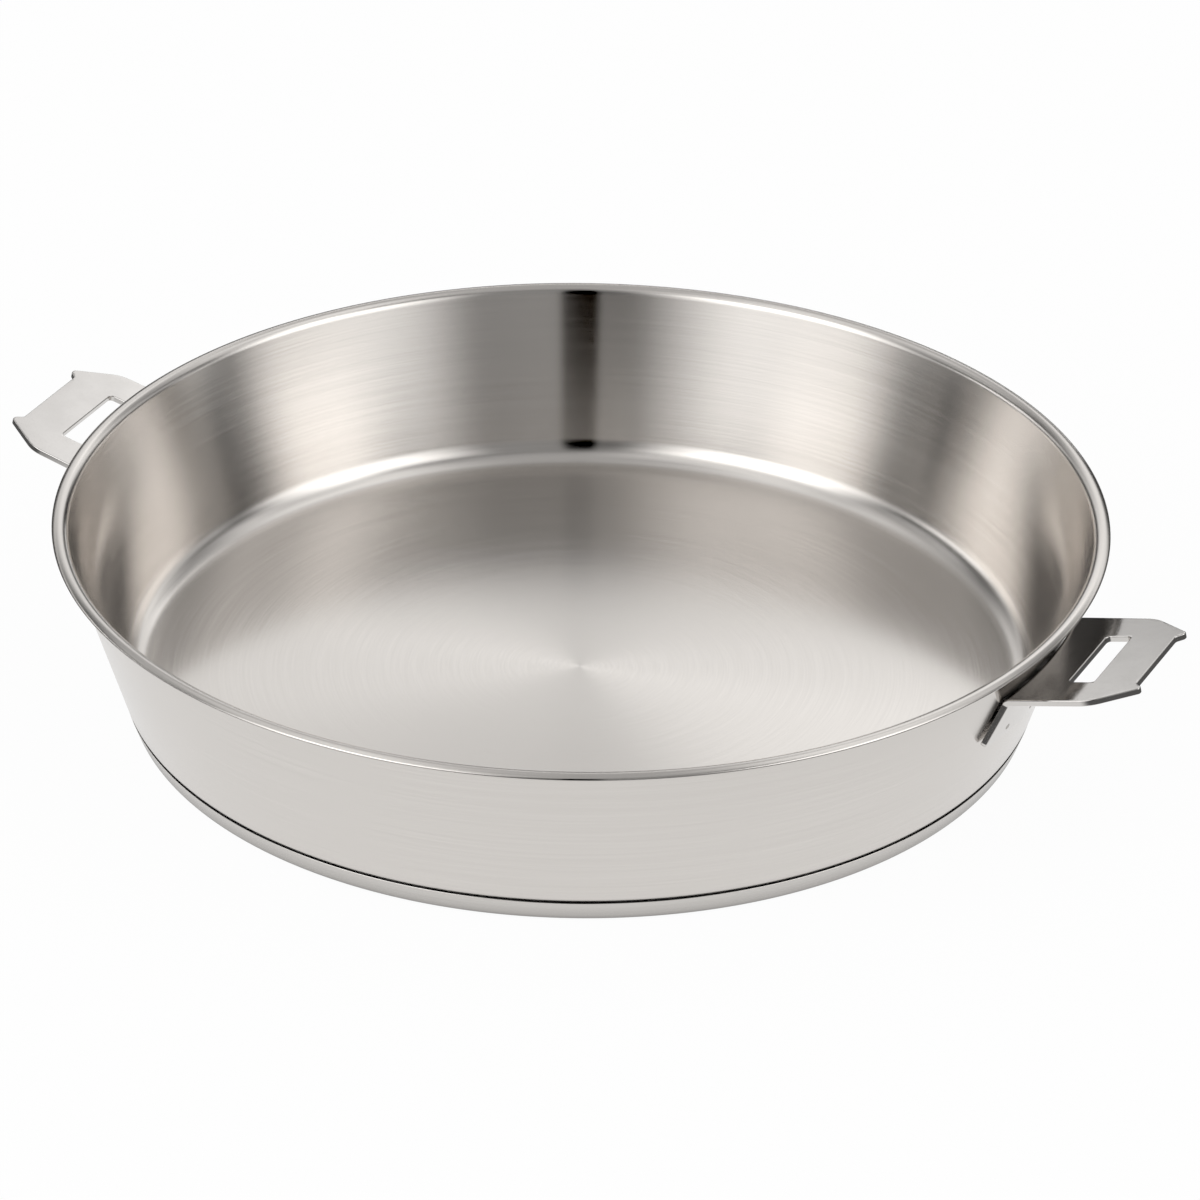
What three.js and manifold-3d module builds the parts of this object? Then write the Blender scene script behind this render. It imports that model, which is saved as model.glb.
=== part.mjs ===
// Frying pan: a drawn stainless body on a capped sandwich base, with two slotted lugs welded to its wall.
// Millimetres, +Z up. The origin is the centre of the base on the stove, and the lugs lie along the X axis.

import * as THREE from 'three';
import { mergeVertices } from 'three/addons/utils/BufferGeometryUtils.js';
import Module from 'manifold-3d';

const wasm = await Module();
wasm.setup();

// Driving dimensions: the pan body
const LIP_DIAMETER = 300;
const PAN_HEIGHT = 57.4;
const BODY_SHEET = 0.9;
const WALL_LEAN = THREE.MathUtils.degToRad(17.4);
const CORNER_INSIDE_RADIUS = 8.5;
const CORNER_OUTSIDE_RADIUS = 5;
const LIP_RADIUS = 1.96;
const LIP_END_LEAN = THREE.MathUtils.degToRad(130);

// Driving dimensions: the sandwich base
const CAP_SHEET = 0.5;
const CAP_RIM_RISE = 1.3;
const CAP_LEAN = THREE.MathUtils.degToRad(20);
const CAP_CORNER_RADIUS = 3;
const RIM_CLEARANCE = 0.25;
const BRAZE_THICKNESS = 0.2;
const BRAZE_INSET = 1;
const CORE_THICKNESS = 4.7;
const CORE_LIP_RISE = 0.7;

// Driving dimensions: a lug, with its plate measured outward from the line where it would meet the wall
const LUG_SHEET = 1.8;
const LUG_DROP = 11.7;
const LUG_BEND_RADIUS = 0.8;
const FLANGE_HEIGHT = 14.4;
const FLANGE_HALF_WIDTH = 30;
const FLANGE_CLEARANCE = 0.5;
const PLATE_RISE = THREE.MathUtils.degToRad(13.6);
const PLATE_NECK_HALF_WIDTH = 26.4;
const PLATE_HALF_WIDTH = 26;
const SHOULDER_DISTANCE = 22.2;
const SHOULDER_ROUND = 3;
const HORN_DISTANCE = 34;
const HORN_HALF_SPAN = 17.8;
const HORN_TIP_WIDTH = 1.4;
const HORN_ROOT_WIDTH = 3.3;
const NOTCH_DEPTH = 2;
const SLOT_DISTANCE = 11.7;
const SLOT_WIDTH = 7.4;
const SLOT_LENGTH = 28.7;
const SLOT_CORNER_RADIUS = 1.2;
const TRIM_MARGIN = 0.1;

// Driving dimensions: the spot welds of one lug
const WELD_COUNT = 4;
const WELD_DIAMETER = 4;
const WELD_EDGE_DISTANCE = 3;
const WELD_SIDE_INSET = 10;
const WELD_CLEARANCE = 0.1;

// Smoothness of the round forms, and how close two corners of a mesh lie to count as one
const TURN_SEGMENTS = 80;
const ARC_STEPS = 4;
const LIP_STEPS = 6;
const BEND_STEPS = 4;
const FLANGE_STEPS = 14;
const CURVE_STEPS = 5;
const WELD_SIDES = 18;
const MERGE_DISTANCE = 1e-4;

// Materials
const steel = { color: 0xcbc7c1, metalness: 1 };
const brushedSteel = new THREE.MeshStandardMaterial({ ...steel, roughness: 0.34 });
const satinSteel = new THREE.MeshStandardMaterial({ ...steel, roughness: 0.3 });
const polishedSteel = new THREE.MeshStandardMaterial({ ...steel, roughness: 0.12 });
const weldSteel = new THREE.MeshStandardMaterial({ color: 0x9b958d, metalness: 1, roughness: 0.5 });
const aluminium = new THREE.MeshStandardMaterial({ color: 0xd5d6d8, metalness: 1, roughness: 0.45 });
const filler = new THREE.MeshStandardMaterial({ color: 0xb7b1a6, metalness: 1, roughness: 0.55 });

// Points of an arc in the plane of a section, from one angle to another, both ends included.
function arcPoints(centre, radius, fromAngle, toAngle, steps = ARC_STEPS) {
  const points = [];
  for (let i = 0; i <= steps; i += 1) {
    const angle = fromAngle + (toAngle - fromAngle) * i / steps;
    points.push(new THREE.Vector2(
      centre.x + radius * Math.cos(angle),
      centre.y + radius * Math.sin(angle),
    ));
  }
  return points;
}

// A body of revolution about Z, from a section that runs from the axis below to the axis above.
function turned(section) {
  return new THREE.LatheGeometry(section, TURN_SEGMENTS).rotateX(Math.PI / 2);
}

// A flat disc between two heights.
function disc(radius, bottom, top) {
  return turned([
    new THREE.Vector2(0, bottom),
    new THREE.Vector2(radius, bottom),
    new THREE.Vector2(radius, top),
    new THREE.Vector2(0, top),
  ]);
}

function namedMesh(name, geometry, material) {
  const mesh = new THREE.Mesh(geometry, material);
  mesh.name = name;
  return mesh;
}

// Cutting and joining: a geometry becomes a solid, and a solid becomes a geometry again.
function solidFrom(geometry) {
  const bare = geometry.clone();
  bare.deleteAttribute('normal');
  bare.deleteAttribute('uv');
  const merged = mergeVertices(bare, MERGE_DISTANCE);
  return new wasm.Manifold(new wasm.Mesh({
    numProp: 3,
    vertProperties: Float32Array.from(merged.attributes.position.array),
    triVerts: Uint32Array.from(merged.index.array),
  }));
}

function geometryFrom(solid) {
  const mesh = solid.getMesh();
  const geometry = new THREE.BufferGeometry();
  geometry.setAttribute('position', new THREE.BufferAttribute(Float32Array.from(mesh.vertProperties), 3));
  geometry.setIndex(new THREE.BufferAttribute(Uint32Array.from(mesh.triVerts), 1));
  geometry.computeVertexNormals();
  return geometry;
}

// Heights of the base, stacked up from the stove: cup, filler, core, filler, pan floor.
// The cup's rim stands up past the pan's underside, round its corner.
const coreBottom = CAP_SHEET + BRAZE_THICKNESS;
const coreTop = coreBottom + CORE_THICKNESS;
const bodyUnderside = coreTop + BRAZE_THICKNESS;
const floorHeight = bodyUnderside + BODY_SHEET;
const rimHeight = bodyUnderside + CAP_RIM_RISE;

// The lip: the middle of the sheet rolls about one centre, from the wall's lean over the top to the lip's end
const halfSheet = BODY_SHEET / 2;
const lipMiddleRadius = LIP_RADIUS + halfSheet;
const lipCentre = new THREE.Vector2(
  LIP_DIAMETER / 2 - halfSheet + lipMiddleRadius * Math.cos(LIP_END_LEAN),
  PAN_HEIGHT - LIP_RADIUS - BODY_SHEET,
);
const lipEnd = new THREE.Vector2(
  lipCentre.x - lipMiddleRadius * Math.cos(LIP_END_LEAN),
  lipCentre.y + lipMiddleRadius * Math.sin(LIP_END_LEAN),
);
const wallTop = new THREE.Vector2(
  lipCentre.x - lipMiddleRadius * Math.cos(WALL_LEAN),
  lipCentre.y + lipMiddleRadius * Math.sin(WALL_LEAN),
);

// Radius of the wall's outside and inside at a height, on its straight part
function wallRadius(height, offset) {
  return wallTop.x + (height - wallTop.y) * Math.tan(WALL_LEAN) + offset / Math.cos(WALL_LEAN);
}

function outsideRadius(height) {
  return wallRadius(height, halfSheet);
}

// Centre of the round corner between a level face and a leaning side
function cornerCentre(levelHeight, radius, sideRadius, lean) {
  const height = levelHeight + radius;
  return new THREE.Vector2(sideRadius(height) - radius / Math.cos(lean), height);
}

const outsideCorner = cornerCentre(bodyUnderside, CORNER_OUTSIDE_RADIUS, outsideRadius, WALL_LEAN);
const insideCorner = cornerCentre(
  floorHeight,
  CORNER_INSIDE_RADIUS,
  (height) => wallRadius(height, -halfSheet),
  WALL_LEAN,
);

// Radius of the round corner's outside, or of the wall above it, at a height
function bodyRadius(height) {
  const below = outsideCorner.y - height;
  if (below > CORNER_OUTSIDE_RADIUS * Math.sin(WALL_LEAN)) {
    return outsideCorner.x + Math.sqrt(CORNER_OUTSIDE_RADIUS ** 2 - below ** 2);
  }
  return outsideRadius(height);
}

function panBody() {
  const down = -Math.PI / 2;
  const lipStart = Math.PI - WALL_LEAN;
  const lipStop = Math.PI - LIP_END_LEAN;
  return turned([
    new THREE.Vector2(0, bodyUnderside),
    ...arcPoints(outsideCorner, CORNER_OUTSIDE_RADIUS, down, -WALL_LEAN),
    ...arcPoints(lipCentre, LIP_RADIUS, lipStart, lipStop, LIP_STEPS),
    ...arcPoints(lipEnd, halfSheet, -LIP_END_LEAN, lipStop).slice(1, -1),
    ...arcPoints(lipCentre, LIP_RADIUS + BODY_SHEET, lipStop, lipStart, LIP_STEPS),
    ...arcPoints(insideCorner, CORNER_INSIDE_RADIUS, -WALL_LEAN, down),
    new THREE.Vector2(0, floorHeight),
  ]);
}

// The cup's rim stands clear of the body's round corner, and its side leans in from there
const rimInsideRadius = bodyRadius(rimHeight) + RIM_CLEARANCE;

function cupRadius(height, offset) {
  return rimInsideRadius - (rimHeight - height) * Math.tan(CAP_LEAN) + offset / Math.cos(CAP_LEAN);
}

const cupCorner = cornerCentre(0, CAP_CORNER_RADIUS, (height) => cupRadius(height, CAP_SHEET), CAP_LEAN);

function baseCap() {
  const down = -Math.PI / 2;
  const insideRadius = CAP_CORNER_RADIUS - CAP_SHEET;
  return turned([
    new THREE.Vector2(0, 0),
    ...arcPoints(cupCorner, CAP_CORNER_RADIUS, down, -CAP_LEAN),
    new THREE.Vector2(cupRadius(rimHeight, CAP_SHEET), rimHeight),
    new THREE.Vector2(rimInsideRadius, rimHeight),
    ...arcPoints(cupCorner, insideRadius, -CAP_LEAN, down),
    new THREE.Vector2(0, CAP_SHEET),
  ]);
}

// The core fills the cup, and its edge is squeezed up under the body's round corner
function coreDisc() {
  const down = -Math.PI / 2;
  const bottomRadius = CAP_CORNER_RADIUS - CAP_SHEET - BRAZE_THICKNESS;
  const edgeHeight = coreTop + CORE_LIP_RISE;
  const seatRadius = CORNER_OUTSIDE_RADIUS + BRAZE_THICKNESS;
  const seatAngle = -Math.asin((outsideCorner.y - edgeHeight) / seatRadius);
  return turned([
    new THREE.Vector2(0, coreBottom),
    ...arcPoints(cupCorner, bottomRadius, down, -CAP_LEAN),
    new THREE.Vector2(cupRadius(edgeHeight, -BRAZE_THICKNESS), edgeHeight),
    ...arcPoints(outsideCorner, seatRadius, seatAngle, down),
    new THREE.Vector2(0, coreTop),
  ]);
}

// Lug: height of the plate's top where it would meet the wall, and the wall side of the flange there
const lugHeight = PAN_HEIGHT - LUG_DROP;
const flangeBottom = lugHeight - FLANGE_HEIGHT;

function flangeDistance(height, across) {
  const radius = outsideRadius(height) + FLANGE_CLEARANCE / Math.cos(WALL_LEAN);
  return Math.sqrt(radius * radius - across * across);
}

const plateStart = new THREE.Vector2(flangeDistance(lugHeight, 0), lugHeight);
const plateDirection = new THREE.Vector2(Math.cos(PLATE_RISE), Math.sin(PLATE_RISE));

function rightOf(direction) {
  return new THREE.Vector2(direction.y, -direction.x);
}

// Where the flange's wall side meets the plate's top, for one place across the lug,
// with the flange's lower edge and its direction there
function lugCorner(across) {
  const low = new THREE.Vector2(flangeDistance(flangeBottom, across), flangeBottom);
  const high = new THREE.Vector2(flangeDistance(lugHeight, across), lugHeight);
  const direction = high.clone().sub(low).normalize();
  const gap = plateStart.clone().sub(low);
  const along = gap.cross(plateDirection) / direction.cross(plateDirection);
  return { low, direction, corner: low.clone().addScaledVector(direction, along) };
}

// One section of the sheet, from the flange's lower edge round the bend to past the horns.
// depth is 0 on the side that faces the wall and the sky, and the sheet's thickness on the other side.
function lugSection(acrossAt, depth) {
  const lowAcross = acrossAt(FLANGE_HALF_WIDTH);
  const neckAcross = acrossAt(PLATE_NECK_HALF_WIDTH);
  const plateAcross = acrossAt(PLATE_HALF_WIDTH);
  const foot = lugCorner(lowAcross);
  const neck = lugCorner(neckAcross);
  const turn = Math.abs(neck.direction.angle() - plateDirection.angle());
  const outerRadius = LUG_BEND_RADIUS + LUG_SHEET;
  const tangent = outerRadius * Math.tan(turn / 2);
  const bendCentre = neck.corner.clone()
    .addScaledVector(neck.direction, -tangent)
    .addScaledVector(rightOf(neck.direction), outerRadius);
  const fromAngle = rightOf(neck.direction).negate().angle();
  const platePoint = (distance) => plateStart.clone().addScaledVector(plateDirection, distance);
  const sunk = rightOf(plateDirection).multiplyScalar(depth);

  const rows = [[foot.low.clone().addScaledVector(rightOf(foot.direction), depth), lowAcross]];
  for (const point of arcPoints(bendCentre, outerRadius - depth, fromAngle, fromAngle - turn, BEND_STEPS)) {
    rows.push([point, neckAcross]);
  }
  for (const distance of [SHOULDER_DISTANCE, HORN_DISTANCE + SHOULDER_ROUND]) {
    rows.push([platePoint(distance).add(sunk), plateAcross]);
  }
  return rows.map(([point, across]) => new THREE.Vector3(point.x, across, point.y));
}

// A closed sheet between two faces, each given as rows of points across the lug
function sheetGeometry(upper, lower) {
  const columns = upper.length;
  const rows = upper[0].length;
  const positions = [...upper.flat(), ...lower.flat()].flatMap((point) => point.toArray());
  const indices = [];
  const at = (face, column, row) => face * columns * rows + column * rows + row;
  const quad = (a, b, c, d) => indices.push(a, b, c, a, c, d);
  for (let i = 0; i < columns - 1; i += 1) {
    for (let j = 0; j < rows - 1; j += 1) {
      quad(at(0, i, j), at(0, i, j + 1), at(0, i + 1, j + 1), at(0, i + 1, j));
      quad(at(1, i, j), at(1, i + 1, j), at(1, i + 1, j + 1), at(1, i, j + 1));
    }
  }
  for (let i = 0; i < columns - 1; i += 1) {
    quad(at(0, i, 0), at(0, i + 1, 0), at(1, i + 1, 0), at(1, i, 0));
    quad(at(0, i, rows - 1), at(1, i, rows - 1), at(1, i + 1, rows - 1), at(0, i + 1, rows - 1));
  }
  for (let j = 0; j < rows - 1; j += 1) {
    quad(at(0, 0, j), at(1, 0, j), at(1, 0, j + 1), at(0, 0, j + 1));
    quad(at(0, columns - 1, j), at(0, columns - 1, j + 1), at(1, columns - 1, j + 1), at(1, columns - 1, j));
  }
  const geometry = new THREE.BufferGeometry();
  geometry.setAttribute('position', new THREE.Float32BufferAttribute(positions, 3));
  geometry.setIndex(indices);
  return geometry;
}

// A punch through the plate, from an outline whose x runs out along the plate and whose y runs across it
function platePunch(shape, height) {
  const geometry = new THREE.ExtrudeGeometry(shape, {
    depth: 2 * height,
    bevelEnabled: false,
    curveSegments: CURVE_STEPS,
  });
  geometry.translate(0, 0, -height);
  geometry.rotateY(-PLATE_RISE);
  geometry.translate(plateStart.x, 0, plateStart.y);
  return solidFrom(geometry);
}

// Outline that keeps the whole flange and trims the plate's free end to its shoulders, horns and notch
function plateOutline() {
  const clear = 2 * FLANGE_HALF_WIDTH;
  const notchDistance = HORN_DISTANCE - NOTCH_DEPTH;
  const notchHalfWidth = HORN_HALF_SPAN - HORN_ROOT_WIDTH;
  const shape = new THREE.Shape();
  const taper = (PLATE_HALF_WIDTH - HORN_HALF_SPAN) / (HORN_DISTANCE - SHOULDER_DISTANCE);
  const afterShoulder = PLATE_HALF_WIDTH - taper * SHOULDER_ROUND;
  shape.moveTo(-clear, -clear);
  shape.lineTo(SHOULDER_DISTANCE - SHOULDER_ROUND, -clear);
  shape.lineTo(SHOULDER_DISTANCE - SHOULDER_ROUND, -PLATE_HALF_WIDTH - TRIM_MARGIN);
  shape.quadraticCurveTo(
    SHOULDER_DISTANCE, -PLATE_HALF_WIDTH,
    SHOULDER_DISTANCE + SHOULDER_ROUND, -afterShoulder,
  );
  shape.lineTo(HORN_DISTANCE, -HORN_HALF_SPAN);
  shape.lineTo(HORN_DISTANCE, -HORN_HALF_SPAN + HORN_TIP_WIDTH);
  shape.lineTo(notchDistance, -notchHalfWidth);
  shape.lineTo(notchDistance, notchHalfWidth);
  shape.lineTo(HORN_DISTANCE, HORN_HALF_SPAN - HORN_TIP_WIDTH);
  shape.lineTo(HORN_DISTANCE, HORN_HALF_SPAN);
  shape.lineTo(SHOULDER_DISTANCE + SHOULDER_ROUND, afterShoulder);
  shape.quadraticCurveTo(
    SHOULDER_DISTANCE, PLATE_HALF_WIDTH,
    SHOULDER_DISTANCE - SHOULDER_ROUND, PLATE_HALF_WIDTH + TRIM_MARGIN,
  );
  shape.lineTo(SHOULDER_DISTANCE - SHOULDER_ROUND, clear);
  shape.lineTo(-clear, clear);
  shape.closePath();
  return shape;
}

function slotOutline() {
  const near = SLOT_DISTANCE;
  const far = SLOT_DISTANCE + SLOT_WIDTH;
  const side = SLOT_LENGTH / 2;
  const round = SLOT_CORNER_RADIUS;
  const shape = new THREE.Shape();
  shape.absarc(far - round, side - round, round, 0, Math.PI / 2);
  shape.absarc(near + round, side - round, round, Math.PI / 2, Math.PI);
  shape.absarc(near + round, round - side, round, Math.PI, 1.5 * Math.PI);
  shape.absarc(far - round, round - side, round, 1.5 * Math.PI, 2 * Math.PI);
  shape.closePath();
  return shape;
}

function lugGeometry() {
  const upper = [];
  const lower = [];
  for (let i = 0; i <= FLANGE_STEPS; i += 1) {
    const share = 2 * i / FLANGE_STEPS - 1;
    upper.push(lugSection((halfWidth) => share * halfWidth, 0));
    lower.push(lugSection((halfWidth) => share * halfWidth, LUG_SHEET));
  }
  const sheet = solidFrom(sheetGeometry(upper, lower));
  const trimmed = sheet.intersect(platePunch(plateOutline(), 2 * FLANGE_HEIGHT));
  return geometryFrom(trimmed.subtract(platePunch(slotOutline(), 2 * LUG_SHEET)));
}

// A spot weld: a flat nugget between the wall and the flange, square to the wall
function weldMesh(name, across) {
  const height = flangeBottom + WELD_EDGE_DISTANCE * Math.cos(WALL_LEAN);
  const radius = outsideRadius(height);
  const bearing = Math.asin(across / radius);
  const thickness = FLANGE_CLEARANCE - 2 * WELD_CLEARANCE;
  const geometry = new THREE.CylinderGeometry(WELD_DIAMETER / 2, WELD_DIAMETER / 2, thickness, WELD_SIDES);
  const mesh = namedMesh(name, geometry, weldSteel);
  const outward = new THREE.Vector3(
    Math.cos(WALL_LEAN) * Math.cos(bearing),
    Math.cos(WALL_LEAN) * Math.sin(bearing),
    -Math.sin(WALL_LEAN),
  );
  mesh.position.set(radius * Math.cos(bearing), radius * Math.sin(bearing), height);
  mesh.position.addScaledVector(outward, FLANGE_CLEARANCE / 2);
  mesh.quaternion.setFromUnitVectors(new THREE.Vector3(0, 1, 0), outward);
  return mesh;
}

// One lug with its welds, turned about the pan's axis to its side
function lugSide(side, turn, geometry) {
  const group = new THREE.Group();
  group.rotation.z = turn;
  group.add(namedMesh(`lug_${side}`, geometry, polishedSteel));
  const weldReach = FLANGE_HALF_WIDTH - WELD_SIDE_INSET;
  const weldPitch = 2 * weldReach / Math.max(WELD_COUNT - 1, 1);
  for (let i = 0; i < WELD_COUNT; i += 1) {
    const across = (i - (WELD_COUNT - 1) / 2) * weldPitch;
    group.add(weldMesh(`weld_${side}_${i + 1}`, across));
  }
  return group;
}

const pan = new THREE.Group();
pan.add(namedMesh('pan_body', panBody(), brushedSteel));
pan.add(namedMesh('braze_upper', disc(outsideCorner.x - BRAZE_INSET, coreTop, bodyUnderside), filler));
pan.add(namedMesh('core_disc', coreDisc(), aluminium));
pan.add(namedMesh('braze_lower', disc(cupCorner.x - BRAZE_INSET, CAP_SHEET, coreBottom), filler));
pan.add(namedMesh('base_cap', baseCap(), satinSteel));
const lug = lugGeometry();
pan.add(lugSide('right', 0, lug));
pan.add(lugSide('left', Math.PI, lug));

export default pan;
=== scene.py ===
"""Looks of the frying pan: brushed steel, a white table, a soft studio and the photograph's camera.

Metres, +Z up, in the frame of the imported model: the lugs lie along X and the pan stands at z = 0.
"""
import math

import bmesh
import bpy
from mathutils import Matrix, Vector


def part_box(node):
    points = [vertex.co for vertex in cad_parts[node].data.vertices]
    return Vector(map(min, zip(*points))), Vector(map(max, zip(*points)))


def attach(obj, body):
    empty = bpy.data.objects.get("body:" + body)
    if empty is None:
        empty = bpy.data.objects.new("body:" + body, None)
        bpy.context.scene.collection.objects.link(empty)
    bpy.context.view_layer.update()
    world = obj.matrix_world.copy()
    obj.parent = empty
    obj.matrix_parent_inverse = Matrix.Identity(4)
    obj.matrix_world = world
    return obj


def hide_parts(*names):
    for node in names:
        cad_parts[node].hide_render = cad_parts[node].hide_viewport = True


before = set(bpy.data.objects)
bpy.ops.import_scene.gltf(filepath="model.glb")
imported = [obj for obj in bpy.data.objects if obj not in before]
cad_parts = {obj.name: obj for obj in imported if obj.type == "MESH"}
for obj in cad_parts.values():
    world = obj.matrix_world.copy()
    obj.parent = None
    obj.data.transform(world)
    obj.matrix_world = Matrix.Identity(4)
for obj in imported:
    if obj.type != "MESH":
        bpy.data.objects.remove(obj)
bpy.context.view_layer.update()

MM = 0.001

# Sheet metal of the pan, as in the part's source
BODY_SHEET = 0.9 * MM
WALL_LEAN = math.radians(17.4)
CORNER_INSIDE = 8.5 * MM
CORNER_OUTSIDE = 5 * MM
LIP_RADIUS = 1.96 * MM
LIP_END_LEAN = math.radians(130)
CAP_SHEET = 0.5 * MM
CAP_LEAN = math.radians(20)
CAP_CORNER = 3 * MM
CAP_RIM_ROUND = 0.2 * MM

# Lug, with its plate measured outward from the line where it would meet the wall
LUG_SHEET = 1.8 * MM
LUG_DROP = 11.7 * MM
LUG_BEND_RADIUS = 0.8 * MM
LUG_EDGE_ROUND = 0.3 * MM
FLANGE_HEIGHT = 14.4 * MM
FLANGE_HALF_WIDTH = 30 * MM
FLANGE_CORNER_ROUND = 1.2 * MM
FLANGE_CLEARANCE = 0.5 * MM
PLATE_RISE = math.radians(13.6)
PLATE_NECK_HALF_WIDTH = 26.4 * MM
PLATE_HALF_WIDTH = 26 * MM
PLATE_EVEN_DISTANCE = 6 * MM
SHOULDER_DISTANCE = 22.2 * MM
SHOULDER_ROUND = 3 * MM
HORN_DISTANCE = 34 * MM
HORN_HALF_SPAN = 17.8 * MM
HORN_TIP_WIDTH = 1.4 * MM
HORN_ROOT_WIDTH = 3.3 * MM
HORN_ROUND = 0.6 * MM
NOTCH_DEPTH = 2 * MM
SLOT_DISTANCE = 11.7 * MM
SLOT_WIDTH = 7.4 * MM
SLOT_LENGTH = 28.7 * MM
SLOT_CORNER_ROUND = 1.4 * MM
WELD_COUNT = 4
WELD_MARK_RADIUS = 0.9 * MM
WELD_MARK_HEIGHT = 0.03 * MM
# Section of a weld mark, as shares of its radius and height: a low ring round a dip
WELD_MARK_SHAPE = [
    (0, 0), (1, 0), (0.97, 0.5), (0.85, 1), (0.7, 0.9), (0.5, 0.45), (0.25, 0.25), (0, 0.2),
]

# Fineness of the meshes
TURN_SEGMENTS = 288
ARC_STEPS = 16
EDGE_STEPS = 6
ROUND_STEPS = 5
SUPPORT = 0.25 * MM
FLANGE_PITCH = 1.5 * MM
BEND_CUTS = 10
MERGE_DISTANCE = 0.001 * MM

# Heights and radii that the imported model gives
pan_low, pan_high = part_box("pan_body")
cap_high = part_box("base_cap")[1]
underside = pan_low.z
pan_floor = underside + BODY_SHEET
pan_top = pan_high.z
lip_outer = pan_high.x
rim_top = cap_high.z
rim_outer = cap_high.x
half_sheet = BODY_SHEET / 2


# Sections: points are (radius, height) pairs

def arc(centre, radius, start, stop, steps=ARC_STEPS):
    """Points of an arc, both ends included."""
    angles = [start + (stop - start) * i / steps for i in range(steps + 1)]
    return [(centre[0] + radius * math.cos(a), centre[1] + radius * math.sin(a)) for a in angles]


def straight(start, stop):
    """Points just inside the ends of a straight run, which keep its shading flat."""
    length = math.dist(start, stop)
    step = [(stop[i] - start[i]) * SUPPORT / length for i in range(2)]
    return [(start[0] + step[0], start[1] + step[1]), (stop[0] - step[0], stop[1] - step[1])]


def joined(*runs):
    """One section from arcs, with a straight run between each two."""
    section = list(runs[0])
    for run in runs[1:]:
        section += straight(section[-1], run[0])
        section += run
    return section


lip_middle = LIP_RADIUS + half_sheet
lip_centre = (
    lip_outer - half_sheet + lip_middle * math.cos(LIP_END_LEAN),
    pan_top - LIP_RADIUS - BODY_SHEET,
)
wall_top = (
    lip_centre[0] - lip_middle * math.cos(WALL_LEAN),
    lip_centre[1] + lip_middle * math.sin(WALL_LEAN),
)


def wall_radius(height, offset):
    """Radius of the wall's straight part at a height, off the middle of its sheet."""
    return wall_top[0] + (height - wall_top[1]) * math.tan(WALL_LEAN) + offset / math.cos(WALL_LEAN)


def cap_radius(height, offset):
    """Radius of the cup's side at a height, in from its outside."""
    return rim_outer - (rim_top - height) * math.tan(CAP_LEAN) - offset / math.cos(CAP_LEAN)


def pan_section():
    """The drawn sheet: out along the underside, up and over the lip, and back along the floor."""
    down = -math.pi / 2
    lip_start = math.pi - WALL_LEAN
    lip_stop = math.pi - LIP_END_LEAN
    lip_end = arc(lip_centre, lip_middle, lip_start, lip_stop)[-1]
    outside_height = underside + CORNER_OUTSIDE
    inside_height = pan_floor + CORNER_INSIDE
    outside = (
        wall_radius(outside_height, half_sheet) - CORNER_OUTSIDE / math.cos(WALL_LEAN),
        outside_height,
    )
    inside = (
        wall_radius(inside_height, -half_sheet) - CORNER_INSIDE / math.cos(WALL_LEAN),
        inside_height,
    )
    return joined(
        [(0, underside)],
        arc(outside, CORNER_OUTSIDE, down, -WALL_LEAN),
        arc(lip_centre, LIP_RADIUS, lip_start, lip_stop)
        + arc(lip_end, half_sheet, -LIP_END_LEAN, lip_stop, EDGE_STEPS)[1:-1]
        + arc(lip_centre, LIP_RADIUS + BODY_SHEET, lip_stop, lip_start),
        arc(inside, CORNER_INSIDE, -WALL_LEAN, down),
        [(0, pan_floor)],
    )


def cap_section():
    """The cup: out along its bottom, up its side, over the rim and back along its inside."""
    down = -math.pi / 2
    height = CAP_CORNER
    corner = (cap_radius(height, 0) - CAP_CORNER / math.cos(CAP_LEAN), height)
    round_height = rim_top - CAP_RIM_ROUND
    round_outer = (cap_radius(round_height, CAP_RIM_ROUND), round_height)
    round_inner = (cap_radius(round_height, CAP_SHEET - CAP_RIM_ROUND), round_height)
    return joined(
        [(0, 0)],
        arc(corner, CAP_CORNER, down, -CAP_LEAN),
        arc(round_outer, CAP_RIM_ROUND, -CAP_LEAN, math.pi / 2, EDGE_STEPS),
        arc(round_inner, CAP_RIM_ROUND, math.pi / 2, math.pi - CAP_LEAN, EDGE_STEPS),
        arc(corner, CAP_CORNER - CAP_SHEET, -CAP_LEAN, down),
        [(0, CAP_SHEET)],
    )


# Meshes

def piece(name, bm):
    """A new object from a bmesh, with smooth shading."""
    mesh = bpy.data.meshes.new(name)
    for face in bm.faces:
        face.smooth = True
    bm.to_mesh(mesh)
    bm.free()
    obj = bpy.data.objects.new(name, mesh)
    bpy.context.scene.collection.objects.link(obj)
    return obj


def lathe(name, section):
    """A closed body of revolution about Z, from a section that starts and ends on the axis."""
    bm = bmesh.new()
    angles = [2 * math.pi * i / TURN_SEGMENTS for i in range(TURN_SEGMENTS)]
    turns = [(math.cos(a), math.sin(a)) for a in angles]
    rings = []
    for radius, height in section:
        if radius > 0:
            rings.append([bm.verts.new((radius * x, radius * y, height)) for x, y in turns])
        else:
            rings.append([bm.verts.new((0, 0, height))] * TURN_SEGMENTS)
    for lower, upper in zip(rings, rings[1:]):
        for i in range(TURN_SEGMENTS):
            j = (i + 1) % TURN_SEGMENTS
            corners = [lower[i], lower[j], upper[j], upper[i]]
            bm.faces.new(list(dict.fromkeys(corners)))
    return piece(name, bm)


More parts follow.
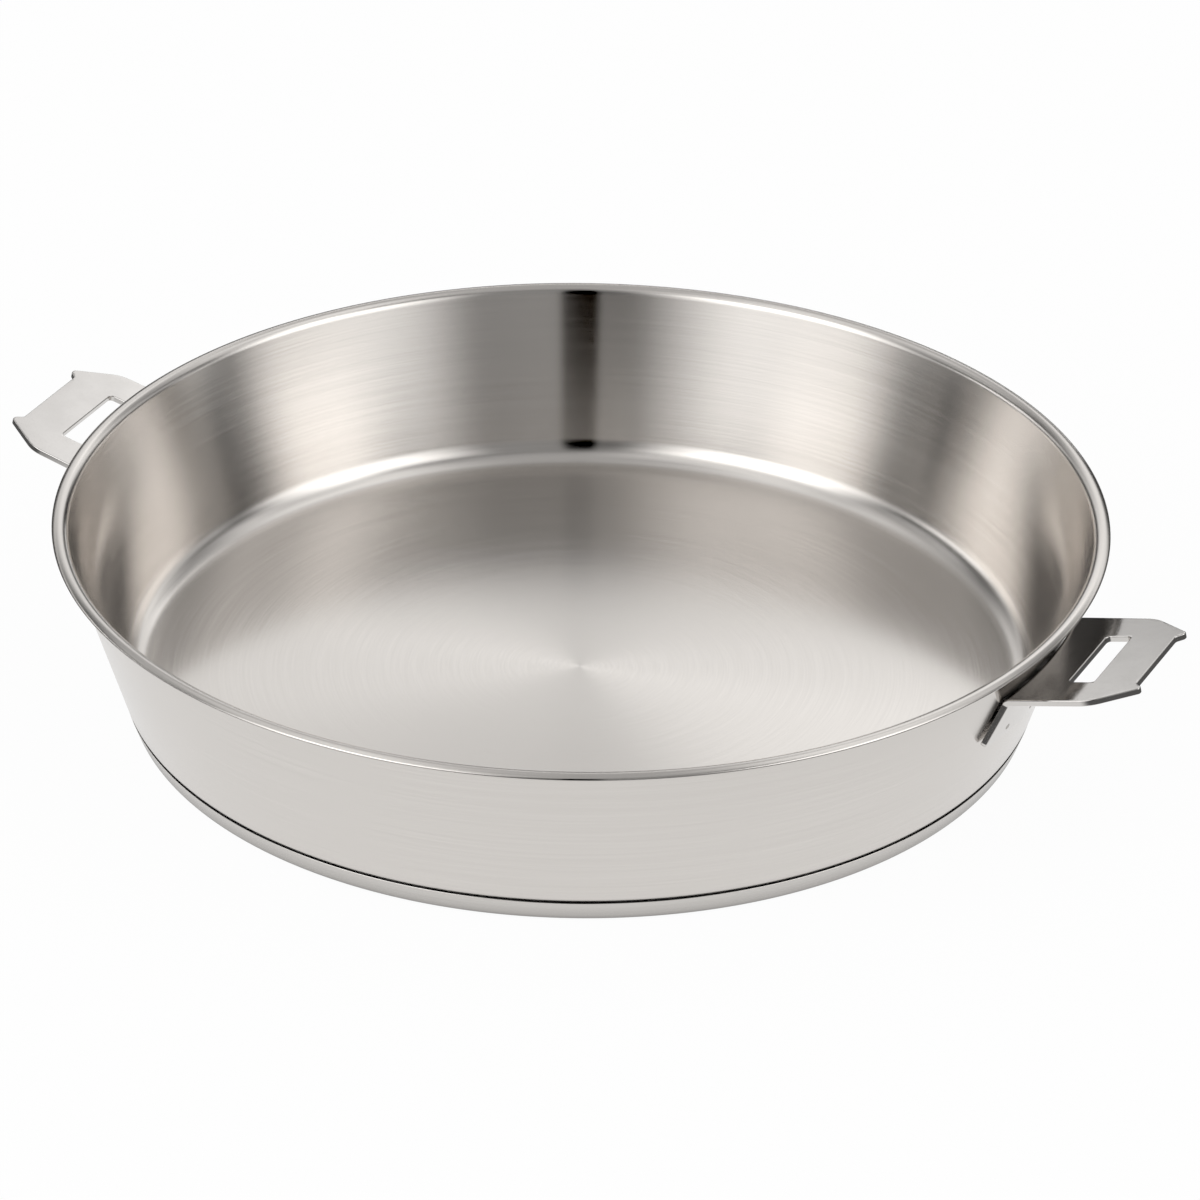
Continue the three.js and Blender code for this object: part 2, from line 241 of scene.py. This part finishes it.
def rounded(corners):
    """An outline from (x, y, length) corners, each one curved over that length of both its sides."""
    outline = []
    count = len(corners)
    for i, (x, y, length) in enumerate(corners):
        here = Vector((x, y))
        if length == 0:
            outline.append(here)
            continue
        start = here + (Vector(corners[i - 1][:2]) - here).normalized() * length
        stop = here + (Vector(corners[(i + 1) % count][:2]) - here).normalized() * length
        for k in range(ROUND_STEPS + 1):
            t = k / ROUND_STEPS
            outline.append(start * (1 - t) ** 2 + here * 2 * t * (1 - t) + stop * t ** 2)
    return outline


# The lug's sheet: flat first, then bent. Its flat length runs up the flange, round the bend
# and out along the plate.

lug_height = pan_top - LUG_DROP
flange_bottom = lug_height - FLANGE_HEIGHT
bend_outer = LUG_BEND_RADIUS + LUG_SHEET
plate_direction = Vector((math.cos(PLATE_RISE), math.sin(PLATE_RISE)))


def flange_distance(height, across):
    """Distance from the pan's middle plane to the flange's wall side."""
    radius = wall_radius(height, half_sheet + FLANGE_CLEARANCE)
    return math.sqrt(radius ** 2 - across ** 2)


plate_start = Vector((flange_distance(lug_height, 0), lug_height))


def right_of(direction):
    """A direction turned a quarter to the right."""
    return Vector((direction.y, -direction.x))


def bend_at(across):
    """The flange at one place across the lug, and its bend: where it starts and ends, and its turn."""
    foot = Vector((flange_distance(flange_bottom, across), flange_bottom))
    head = Vector((flange_distance(lug_height, across), lug_height))
    direction = (head - foot).normalized()
    gap = plate_start - foot
    along = gap.cross(plate_direction) / direction.cross(plate_direction)
    turn = math.acos(direction.dot(plate_direction))
    tangent = bend_outer * math.tan(turn / 2)
    corner = foot + direction * along
    return {
        "foot": foot,
        "direction": direction,
        "run": along - tangent,
        "centre": corner - direction * tangent + right_of(direction) * bend_outer,
        "turn": turn,
        "plate_from": (corner - plate_start).dot(plate_direction) + tangent,
    }


middle = bend_at(0)
flange_run = middle["run"]
bend_run = (LUG_BEND_RADIUS + LUG_SHEET / 2) * middle["turn"]
plate_flat = flange_run + bend_run - middle["plate_from"]


def lug_point(flat):
    """A point of the flat sheet, (length, across, -depth), on the bent lug."""
    length, across, depth = flat.x, flat.y, -flat.z
    bend = bend_at(across)
    if length <= flange_run:
        along = bend["run"] * length / flange_run
        point = bend["foot"] + bend["direction"] * along + right_of(bend["direction"]) * depth
    elif length <= flange_run + bend_run:
        angle = bend["turn"] * (length - flange_run) / bend_run
        spoke = -right_of(bend["direction"])
        turned = Matrix.Rotation(-angle, 2) @ spoke
        point = bend["centre"] + turned * (bend_outer - depth)
    else:
        distance = length - plate_flat
        if distance < PLATE_EVEN_DISTANCE:
            share = (distance - middle["plate_from"]) / (PLATE_EVEN_DISTANCE - middle["plate_from"])
            distance = bend["plate_from"] + (PLATE_EVEN_DISTANCE - bend["plate_from"]) * share
        point = plate_start + plate_direction * distance + right_of(plate_direction) * depth
    return Vector((point.x, across, point.y))


def lug_outlines():
    """Outlines of the flat sheet and of its slot, each with the metal on its left."""
    shoulder = plate_flat + SHOULDER_DISTANCE
    horn = plate_flat + HORN_DISTANCE
    notch = horn - NOTCH_DEPTH
    half = [
        (0, FLANGE_HALF_WIDTH, FLANGE_CORNER_ROUND),
        (flange_run, PLATE_NECK_HALF_WIDTH, 0),
        (shoulder, PLATE_HALF_WIDTH, SHOULDER_ROUND),
        (horn, HORN_HALF_SPAN, HORN_ROUND),
        (horn, HORN_HALF_SPAN - HORN_TIP_WIDTH, HORN_ROUND),
        (notch, HORN_HALF_SPAN - HORN_ROOT_WIDTH, HORN_ROUND),
    ]
    sheet = [(x, -y, length) for x, y, length in half] + half[::-1]
    near = plate_flat + SLOT_DISTANCE
    far = near + SLOT_WIDTH
    side = SLOT_LENGTH / 2
    corners = ((near, side), (far, side), (far, -side), (near, -side))
    slot = [(x, y, SLOT_CORNER_ROUND) for x, y in corners]
    return rounded(sheet), rounded(slot)


def edge_rows(outline):
    """Rows of points over the rounded edge of the flat sheet, from its upper face to its lower face."""
    count = len(outline)
    inward = []
    for i, here in enumerate(outline):
        along = (here - outline[i - 1]).normalized() + (outline[(i + 1) % count] - here).normalized()
        inward.append(Vector((-along.y, along.x)).normalized())
    turns = [math.pi / 2 * i / EDGE_STEPS for i in range(EDGE_STEPS + 1)]
    section = [(LUG_EDGE_ROUND * (1 - math.sin(t)), LUG_EDGE_ROUND * (1 - math.cos(t))) for t in turns]
    section += [(inset, LUG_SHEET - depth) for inset, depth in reversed(section)]
    return [[(*(p + n * inset), -depth) for p, n in zip(outline, inward)] for inset, depth in section]


def lug(name, turn):
    """One lug: a flat sheet with a slot and rounded edges, bent and turned to its side of the pan."""
    bm = bmesh.new()
    upper_edges = []
    lower_edges = []
    for outline in lug_outlines():
        rows = [[bm.verts.new(point) for point in row] for row in edge_rows(outline)]
        count = len(outline)
        for upper, lower in zip(rows, rows[1:]):
            for i in range(count):
                bm.faces.new((upper[i - 1], upper[i], lower[i], lower[i - 1]))
        upper_edges += [bm.edges.get((rows[0][i - 1], rows[0][i])) for i in range(count)]
        lower_edges += [bm.edges.get((rows[-1][i - 1], rows[-1][i])) for i in range(count)]
    for edges in (upper_edges, lower_edges):
        bmesh.ops.triangle_fill(bm, use_beauty=True, edges=edges)
    bmesh.ops.recalc_face_normals(bm, faces=bm.faces[:])
    cut_rows = [i * FLANGE_PITCH for i in range(1, int(flange_run / FLANGE_PITCH) + 1)]
    cut_rows += [flange_run + bend_run * i / BEND_CUTS for i in range(BEND_CUTS + 1)]
    cut_rows.append(plate_flat + PLATE_EVEN_DISTANCE)
    columns = int(FLANGE_HALF_WIDTH / FLANGE_PITCH)
    cuts = [((x, 0, 0), (1, 0, 0)) for x in cut_rows]
    cuts += [((0, i * FLANGE_PITCH, 0), (0, 1, 0)) for i in range(-columns, columns + 1)]
    for point, normal in cuts:
        bmesh.ops.bisect_plane(
            bm, geom=bm.verts[:] + bm.edges[:] + bm.faces[:], plane_co=point, plane_no=normal,
        )
    bmesh.ops.remove_doubles(bm, verts=bm.verts[:], dist=MERGE_DISTANCE)
    for vert in bm.verts:
        vert.co = lug_point(vert.co)
    bmesh.ops.transform(bm, matrix=Matrix.Rotation(turn, 4, "Z"), verts=bm.verts[:])
    obj = piece(name, bm)
    obj.modifiers.new("flat_faces", "WEIGHTED_NORMAL")
    return obj


def weld_mark(name, node):
    """The shallow ring that a spot weld leaves on the flange's outer face, over the weld."""
    low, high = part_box(node)
    centre = (low + high) / 2
    bearing = math.atan2(centre.y, centre.x)
    outward = Vector((
        math.cos(WALL_LEAN) * math.cos(bearing),
        math.cos(WALL_LEAN) * math.sin(bearing),
        -math.sin(WALL_LEAN),
    ))
    section = [(r * WELD_MARK_RADIUS, h * WELD_MARK_HEIGHT) for r, h in WELD_MARK_SHAPE]
    obj = lathe(name, section)
    place = centre + outward * (FLANGE_CLEARANCE / 2 + LUG_SHEET)
    turn = outward.to_track_quat("Z", "Y").to_matrix().to_4x4()
    obj.data.transform(Matrix.Translation(place) @ turn)
    return obj


# Materials

class Graph:
    """Adds nodes to a node tree. An input that is a socket is linked, and anything else is a value."""

    def __init__(self, tree):
        self.tree = tree
        tree.nodes.clear()

    def add(self, kind, inputs=None, **settings):
        node = self.tree.nodes.new(kind)
        for key, value in settings.items():
            setattr(node, key, value)
        for key, value in (inputs or {}).items():
            if isinstance(value, bpy.types.NodeSocket):
                self.tree.links.new(value, node.inputs[key])
            else:
                node.inputs[key].default_value = value
        return node

    def math(self, operation, *values):
        return self.add("ShaderNodeMath", dict(enumerate(values)), operation=operation).outputs[0]

    def vector(self, operation, *values, output=0):
        node = self.add("ShaderNodeVectorMath", dict(enumerate(values)), operation=operation)
        return node.outputs[output]

    def step(self, value, start, stop, low=0.0, high=1.0):
        """Rises smoothly from low to high as value goes from start to stop."""
        inputs = {"Value": value, "From Min": start, "From Max": stop, "To Min": low, "To Max": high}
        return self.add("ShaderNodeMapRange", inputs, interpolation_type="SMOOTHSTEP").outputs["Result"]

    def noise(self, vector, detail, scale=1.0):
        inputs = {"Vector": vector, "Scale": scale, "Detail": detail, "Roughness": 0.5}
        return self.add("ShaderNodeTexNoise", inputs).outputs["Fac"]

    def bump(self, strength, distance, height):
        inputs = {"Strength": strength, "Distance": distance, "Height": height}
        return self.add("ShaderNodeBump", inputs).outputs[0]

    def blend(self, share, first, second):
        inputs = {"Factor": share, "A": first, "B": second}
        return self.add("ShaderNodeMix", inputs, data_type="RGBA").outputs["Result"]


def new_material(name):
    material = bpy.data.materials.new(name)
    material.use_nodes = True
    return material, Graph(material.node_tree)


# Where the floor's finish goes over into the wall's, and the smoother middle of the floor
FLOOR_EDGE = 124 * MM
FLOOR_FADE = 8 * MM
CENTRE_REACH = 60 * MM
CENTRE_ROUGH = 0.13

# Brushing: a higher shortness gives shorter streaks
FINE_SHORTNESS = 3.0
FINE_DETAIL = 2.0
FINE_SHARE = 0.6
BROAD_SHORTNESS = 0.9
BROAD_DETAIL = 3.0
BROAD_PITCH = 1.5 * MM
BRUSHED_ROUGH_SPREAD = 0.08
# In turns: highlights spread across the grooves, square to the circles
GROOVE_TURN = 0.25

# Clouding and rub marks of the polished sheet, and the grain of the plain metals
CLOUD_SCALE = 90.0
CLOUD_DETAIL = 3.0
CLOUD_BUMP = 0.04
RUB_SCALE = 900.0
RUB_DETAIL = 2.0
POLISHED_ROUGH_SPREAD = 0.25
GRAIN_DETAIL = 4.0
GRAIN_BUMP = 0.15
GRAIN_ROUGH_SPREAD = 0.2
BUMP_HEIGHT = 0.05 * MM

# The part of a noise's range over which a finish goes from one end to the other
NOISE_LOW = 0.3
NOISE_HIGH = 0.7
STREAK_LOW = 0.25
STREAK_HIGH = 0.75


def brushed_steel(name, base, shade, rough, floor_rough, anisotropy, groove_pitch, groove_depth):
    """Steel brushed in circles about Z: fine and broad streaks in its roughness, colour and surface."""
    material, g = new_material(name)
    place = g.add("ShaderNodeTexCoord").outputs["Object"]
    xyz = g.add("ShaderNodeSeparateXYZ", {0: place}).outputs
    level = g.add("ShaderNodeCombineXYZ", {0: xyz[0], 1: xyz[1]}).outputs[0]
    radius = g.vector("LENGTH", level, output=1)
    across = g.math("ADD", radius, xyz[2])
    bearing = g.vector("NORMALIZE", level)
    ring = g.add("ShaderNodeSeparateXYZ", {0: bearing}).outputs

    def streaks(shortness, pitch, detail):
        inputs = {
            0: g.math("MULTIPLY", ring[0], shortness),
            1: g.math("MULTIPLY", ring[1], shortness),
            2: g.math("DIVIDE", across, pitch),
        }
        return g.noise(g.add("ShaderNodeCombineXYZ", inputs).outputs[0], detail)

    fine = streaks(FINE_SHORTNESS, groove_pitch, FINE_DETAIL)
    broad = streaks(BROAD_SHORTNESS, BROAD_PITCH, BROAD_DETAIL)
    fine_part = g.math("MULTIPLY", fine, FINE_SHARE)
    broad_part = g.math("MULTIPLY", broad, 1 - FINE_SHARE)
    mixed = g.math("ADD", fine_part, broad_part)
    centre_rough = g.step(radius, 0.0, CENTRE_REACH, CENTRE_ROUGH, floor_rough)
    plain_rough = g.step(radius, FLOOR_EDGE - FLOOR_FADE, FLOOR_EDGE, centre_rough, rough)
    spread = BRUSHED_ROUGH_SPREAD
    uneven = g.step(mixed, NOISE_LOW, NOISE_HIGH, 1 - spread, 1 + spread)
    roughness = g.math("MULTIPLY", plain_rough, uneven)
    color = g.blend(g.step(mixed, STREAK_LOW, STREAK_HIGH), shade, base)
    surface = g.bump(1.0, groove_depth, fine)
    tangent = g.add("ShaderNodeTangent", direction_type="RADIAL", axis="Z").outputs[0]
    shader = g.add("ShaderNodeBsdfPrincipled", {
        "Base Color": color,
        "Metallic": 1.0,
        "Roughness": roughness,
        "Anisotropic": anisotropy,
        "Anisotropic Rotation": GROOVE_TURN,
        "Tangent": tangent,
        "Normal": surface,
    })
    g.add("ShaderNodeOutputMaterial", {"Surface": shader.outputs[0]})
    return material


def polished_steel(name, base, shade, rough):
    """Rolled and polished sheet: faint clouding in its colour and roughness, and a soft unevenness."""
    material, g = new_material(name)
    place = g.add("ShaderNodeTexCoord").outputs["Object"]
    cloud = g.noise(place, CLOUD_DETAIL, CLOUD_SCALE)
    rub = g.noise(place, RUB_DETAIL, RUB_SCALE)
    color = g.blend(g.step(cloud, NOISE_LOW, NOISE_HIGH), shade, base)
    spread = rough * POLISHED_ROUGH_SPREAD
    roughness = g.step(rub, NOISE_LOW, NOISE_HIGH, rough - spread, rough + spread)
    surface = g.bump(CLOUD_BUMP, BUMP_HEIGHT, cloud)
    shader = g.add("ShaderNodeBsdfPrincipled", {
        "Base Color": color,
        "Metallic": 1.0,
        "Roughness": roughness,
        "Normal": surface,
    })
    g.add("ShaderNodeOutputMaterial", {"Surface": shader.outputs[0]})
    return material


def grained_metal(name, base, shade, rough, scale):
    """Plain metal with a grain, for the pieces inside the base and the welds."""
    material, g = new_material(name)
    place = g.add("ShaderNodeTexCoord").outputs["Object"]
    grain = g.noise(place, GRAIN_DETAIL, scale)
    color = g.blend(g.step(grain, NOISE_LOW, NOISE_HIGH), shade, base)
    spread = rough * GRAIN_ROUGH_SPREAD
    roughness = g.step(grain, NOISE_LOW, NOISE_HIGH, rough - spread, rough + spread)
    surface = g.bump(GRAIN_BUMP, BUMP_HEIGHT, grain)
    shader = g.add("ShaderNodeBsdfPrincipled", {
        "Base Color": color,
        "Metallic": 1.0,
        "Roughness": roughness,
        "Normal": surface,
    })
    g.add("ShaderNodeOutputMaterial", {"Surface": shader.outputs[0]})
    return material


body_steel = brushed_steel(
    "body_steel", (0.664, 0.636, 0.607, 1), (0.624, 0.596, 0.567, 1), rough=0.165, floor_rough=0.15,
    anisotropy=1.0, groove_pitch=0.45 * MM, groove_depth=0.004 * MM,
)
cap_steel = brushed_steel(
    "cap_steel", (0.62, 0.598, 0.573, 1), (0.58, 0.558, 0.533, 1), rough=0.2, floor_rough=0.2,
    anisotropy=0.8, groove_pitch=0.45 * MM, groove_depth=0.004 * MM,
)
lug_steel = polished_steel("lug_steel", (0.64, 0.62, 0.6, 1), (0.6, 0.58, 0.56, 1), rough=0.12)
weld_steel = grained_metal(
    "weld_steel", (0.58, 0.56, 0.53, 1), (0.46, 0.44, 0.41, 1), rough=0.45, scale=3000,
)
core_metal = grained_metal(
    "core_aluminium", (0.7, 0.7, 0.71, 1), (0.6, 0.6, 0.61, 1), rough=0.45, scale=600,
)
filler_metal = grained_metal(
    "braze_filler", (0.5, 0.47, 0.41, 1), (0.4, 0.37, 0.32, 1), rough=0.6, scale=900,
)


# Pieces

def dress(obj, material, slot, *nodes):
    """Gives a piece its material and its body, and hides the nodes that it stands for. The slot
    argument is not used.
    """
    obj.data.materials.append(material)
    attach(obj, "root")
    if nodes:
        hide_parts(*nodes)


dress(lathe("pan", pan_section()), body_steel, "body_steel", "pan_body")
dress(lathe("base_cup", cap_section()), cap_steel, "cap_steel", "base_cap")
dress(lug("right_lug", 0), lug_steel, "lug_steel", "lug_right")
dress(lug("left_lug", math.pi), lug_steel, "lug_steel", "lug_left")
for side in ("right", "left"):
    for i in range(1, WELD_COUNT + 1):
        dress(weld_mark(f"weld_mark_{side}_{i}", f"weld_{side}_{i}"), weld_steel, "weld_steel")
        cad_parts[f"weld_{side}_{i}"].material_slots[0].material = weld_steel
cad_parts["core_disc"].material_slots[0].material = core_metal
for node in ("braze_upper", "braze_lower"):
    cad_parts[node].material_slots[0].material = filler_metal


# Camera: where the photograph was taken from

CAMERA_AZIMUTH = math.radians(25.49)
CAMERA_ELEVATION = math.radians(28.69)
CAMERA_ROLL = math.radians(0.752)
CAMERA_DISTANCE = 1714.6 * MM
CAMERA_TARGET = Vector((5.05, 2.41, 28.34)) * MM
CAMERA_LENS = 179.66


def place_camera():
    """Looks at the target along the azimuth and elevation, rolled about the line of sight."""
    level = math.cos(CAMERA_ELEVATION)
    forward = Vector((
        -math.sin(CAMERA_AZIMUTH) * level,
        math.cos(CAMERA_AZIMUTH) * level,
        -math.sin(CAMERA_ELEVATION),
    ))
    right = Vector((math.cos(CAMERA_AZIMUTH), math.sin(CAMERA_AZIMUTH), 0))
    right = Matrix.Rotation(-CAMERA_ROLL, 3, forward) @ right
    up = right.cross(forward)
    data = bpy.data.cameras.new("camera")
    data.lens = CAMERA_LENS
    camera = bpy.data.objects.new("camera", data)
    camera.matrix_world = Matrix((right, up, -forward)).transposed().to_4x4()
    camera.location = CAMERA_TARGET - forward * CAMERA_DISTANCE
    bpy.context.scene.collection.objects.link(camera)
    bpy.context.scene.camera = camera


# Studio: a white table, and a shell of lit and dark panels that the steel reflects

WHITE = (1, 1, 1, 1)

TABLE_REACH = 12.0
TABLE_COLOR = (0.9, 0.9, 0.9, 1)
# Keeps the table clear of the pan's underside
TABLE_DROP = 0.05 * MM

# Share of the table's white that takes shadow, as the camera sees it and in the steel
TABLE_SHADOW = 0.04
TABLE_MIRRORED_SHADOW = 0.06

# In the steel: the white round the pan, its fade further out, and the shade at the base's foot
TABLE_MIRRORED_CENTRE = (-0.014, -0.018, 0)
TABLE_MIRRORED_REACH = 0.18
TABLE_MIRRORED_FADE = 0.07
TABLE_MIRRORED_FAR = 0.08
TABLE_FOOT_IN = 5.5 * MM
TABLE_FOOT_OUT = 2.5 * MM
TABLE_FOOT_SHADE = 0.3

SHELL_RADIUS = 3.0
SHELL_RINGS = 24
# How far the shell goes on below the table, as a share of its radius
SHELL_SKIRT = 0.1
SHELL_GLOW = 0.02


def table():
    """A white table that takes a little of the pan's shadow.

    In the steel it is shaded at the base's foot and fades out away from the pan.
    """
    bm = bmesh.new()
    bmesh.ops.create_grid(bm, x_segments=1, y_segments=1, size=TABLE_REACH)
    obj = piece("table", bm)
    obj.location.z = -TABLE_DROP
    material, g = new_material("table")
    path = g.add("ShaderNodeLightPath").outputs
    place = g.add("ShaderNodeTexCoord").outputs["Object"]
    distance = g.vector("DISTANCE", place, TABLE_MIRRORED_CENTRE, output=1)
    fade_end = TABLE_MIRRORED_REACH + TABLE_MIRRORED_FADE
    faded = g.step(distance, TABLE_MIRRORED_REACH, fade_end, 1.0, TABLE_MIRRORED_FAR)
    from_axis = g.vector("LENGTH", place, output=1)
    foot_start = rim_outer - TABLE_FOOT_IN
    foot_stop = rim_outer + TABLE_FOOT_OUT
    foot = g.step(from_axis, foot_start, foot_stop, TABLE_FOOT_SHADE, 1.0)
    glow = g.math("MAXIMUM", path["Is Camera Ray"], g.math("MULTIPLY", faded, foot))
    white = g.add("ShaderNodeEmission", {"Color": WHITE, "Strength": glow}).outputs[0]
    matt = g.add("ShaderNodeBsdfDiffuse", {"Color": TABLE_COLOR}).outputs[0]
    seen_share = g.math("MULTIPLY", path["Is Camera Ray"], 1 - TABLE_SHADOW)
    mirrored_share = g.math("MULTIPLY", path["Is Glossy Ray"], 1 - TABLE_MIRRORED_SHADOW)
    share = g.math("ADD", seen_share, mirrored_share)
    mixed = g.add("ShaderNodeMixShader", {0: share, 1: matt, 2: white}).outputs[0]
    g.add("ShaderNodeOutputMaterial", {"Surface": mixed})
    obj.data.materials.append(material)


def white_world():
    """White where nothing else is met. The shell stands in front of it for all but the camera."""
    world = bpy.data.worlds.new("world")
    world.use_nodes = True
    bpy.context.scene.world = world
    g = Graph(world.node_tree)
    light = g.add("ShaderNodeBackground", {"Color": WHITE, "Strength": 1.0}).outputs[0]
    g.add("ShaderNodeOutputWorld", {"Surface": light})


class Panel:
    """A soft-edged lit panel. Angles are in degrees, and its bearing goes right from the camera's side.

    A negative strength makes it a dark flag, which takes light away where it overlaps other panels.
    """

    def __init__(self, bearing, elevation, width, height, soft, strength):
        self.bearing = bearing
        self.elevation = elevation
        self.width = width
        self.height = height
        self.soft = soft
        self.strength = strength

    def light(self, g, bearing, elevation):
        """Its share of the light from each direction."""
        turned = g.math("SUBTRACT", bearing, self.bearing)
        sideways = g.math("ABSOLUTE", g.math("WRAP", turned, 180.0, -180.0))
        upward = g.math("ABSOLUTE", g.math("SUBTRACT", elevation, self.elevation))
        across = g.step(sideways, self.width / 2 + self.soft[0], self.width / 2 - self.soft[0])
        along = g.step(upward, self.height / 2 + self.soft[1], self.height / 2 - self.soft[1])
        return g.math("MULTIPLY", g.math("MULTIPLY", across, along), self.strength)


PANELS = [
    # Left soft box
    Panel(bearing=-51, elevation=30, width=55, height=44, soft=(19, 3), strength=2.3),
    # Right soft box
    Panel(bearing=63, elevation=30, width=50, height=45, soft=(15, 3), strength=1.97),
    # Back, low
    Panel(bearing=172, elevation=27, width=68, height=14, soft=(30, 4), strength=1.12),
    # Back, high
    Panel(bearing=172, elevation=49, width=90, height=30, soft=(30, 5), strength=0.5),
    # For the left lug
    Panel(bearing=167, elevation=39, width=17, height=14, soft=(4, 4), strength=0.75),
    # Left back, low
    Panel(bearing=-110, elevation=17, width=35, height=11, soft=(13, 2), strength=1.9),
    # Left, high
    Panel(bearing=-88, elevation=59, width=142, height=28, soft=(27, 11), strength=0.73),
    # Right, high
    Panel(bearing=114, elevation=60, width=80, height=24, soft=(12, 10), strength=0.83),
    # Ceiling
    Panel(bearing=0, elevation=84, width=360, height=40, soft=(1, 6), strength=0.5),
    # Front fill
    Panel(bearing=19, elevation=29, width=48, height=62, soft=(12, 4), strength=0.32),
    # Dark flag at the front
    Panel(bearing=1, elevation=26, width=8.6, height=58, soft=(1, 9), strength=-0.36),
    # Left horizon
    Panel(bearing=-77, elevation=1, width=42, height=5, soft=(8, 2), strength=0.7),
    # Right horizon
    Panel(bearing=97, elevation=5, width=13, height=13, soft=(5, 4), strength=0.9),
    # Right back, low
    Panel(bearing=125, elevation=19, width=50, height=14, soft=(8, 3), strength=0.6),
    # Right back, middle
    Panel(bearing=107, elevation=41, width=36, height=14, soft=(12, 4), strength=0.6),
    # Left back, middle
    Panel(bearing=-114, elevation=38, width=40, height=8, soft=(12, 4), strength=0.6),
    # Back horizon
    Panel(bearing=170, elevation=2, width=21, height=11, soft=(2, 3), strength=1.1),
    # For the right lug
    Panel(bearing=-155, elevation=18, width=49, height=8, soft=(4, 3), strength=0.6),
]


def shell():
    """The studio round the table: a dark shell with lit panels, which the camera looks through."""
    bm = bmesh.new()
    bmesh.ops.create_uvsphere(
        bm, u_segments=2 * SHELL_RINGS, v_segments=SHELL_RINGS, radius=SHELL_RADIUS,
    )
    below = [v for v in bm.verts if v.co.z < -SHELL_RADIUS * SHELL_SKIRT]
    bmesh.ops.delete(bm, geom=below, context="VERTS")
    obj = piece("shell", bm)
    obj.visible_camera = False
    material, g = new_material("shell")
    material.cycles.emission_sampling = "NONE"
    place = g.add("ShaderNodeTexCoord").outputs["Object"]
    xyz = g.add("ShaderNodeSeparateXYZ", {0: g.vector("NORMALIZE", place)}).outputs
    turned = g.math("ARCTAN2", xyz[0], g.math("MULTIPLY", xyz[1], -1.0))
    bearing = g.math("DEGREES", g.math("SUBTRACT", turned, CAMERA_AZIMUTH))
    elevation = g.math("DEGREES", g.math("ARCSINE", xyz[2]))
    total = SHELL_GLOW
    for panel in PANELS:
        total = g.math("ADD", total, panel.light(g, bearing, elevation))
    glow = g.add("ShaderNodeEmission", {"Color": WHITE, "Strength": total}).outputs[0]
    g.add("ShaderNodeOutputMaterial", {"Surface": glow})
    obj.data.materials.append(material)


place_camera()
table()
white_world()
shell()
bpy.context.scene.view_settings.view_transform = "Standard"
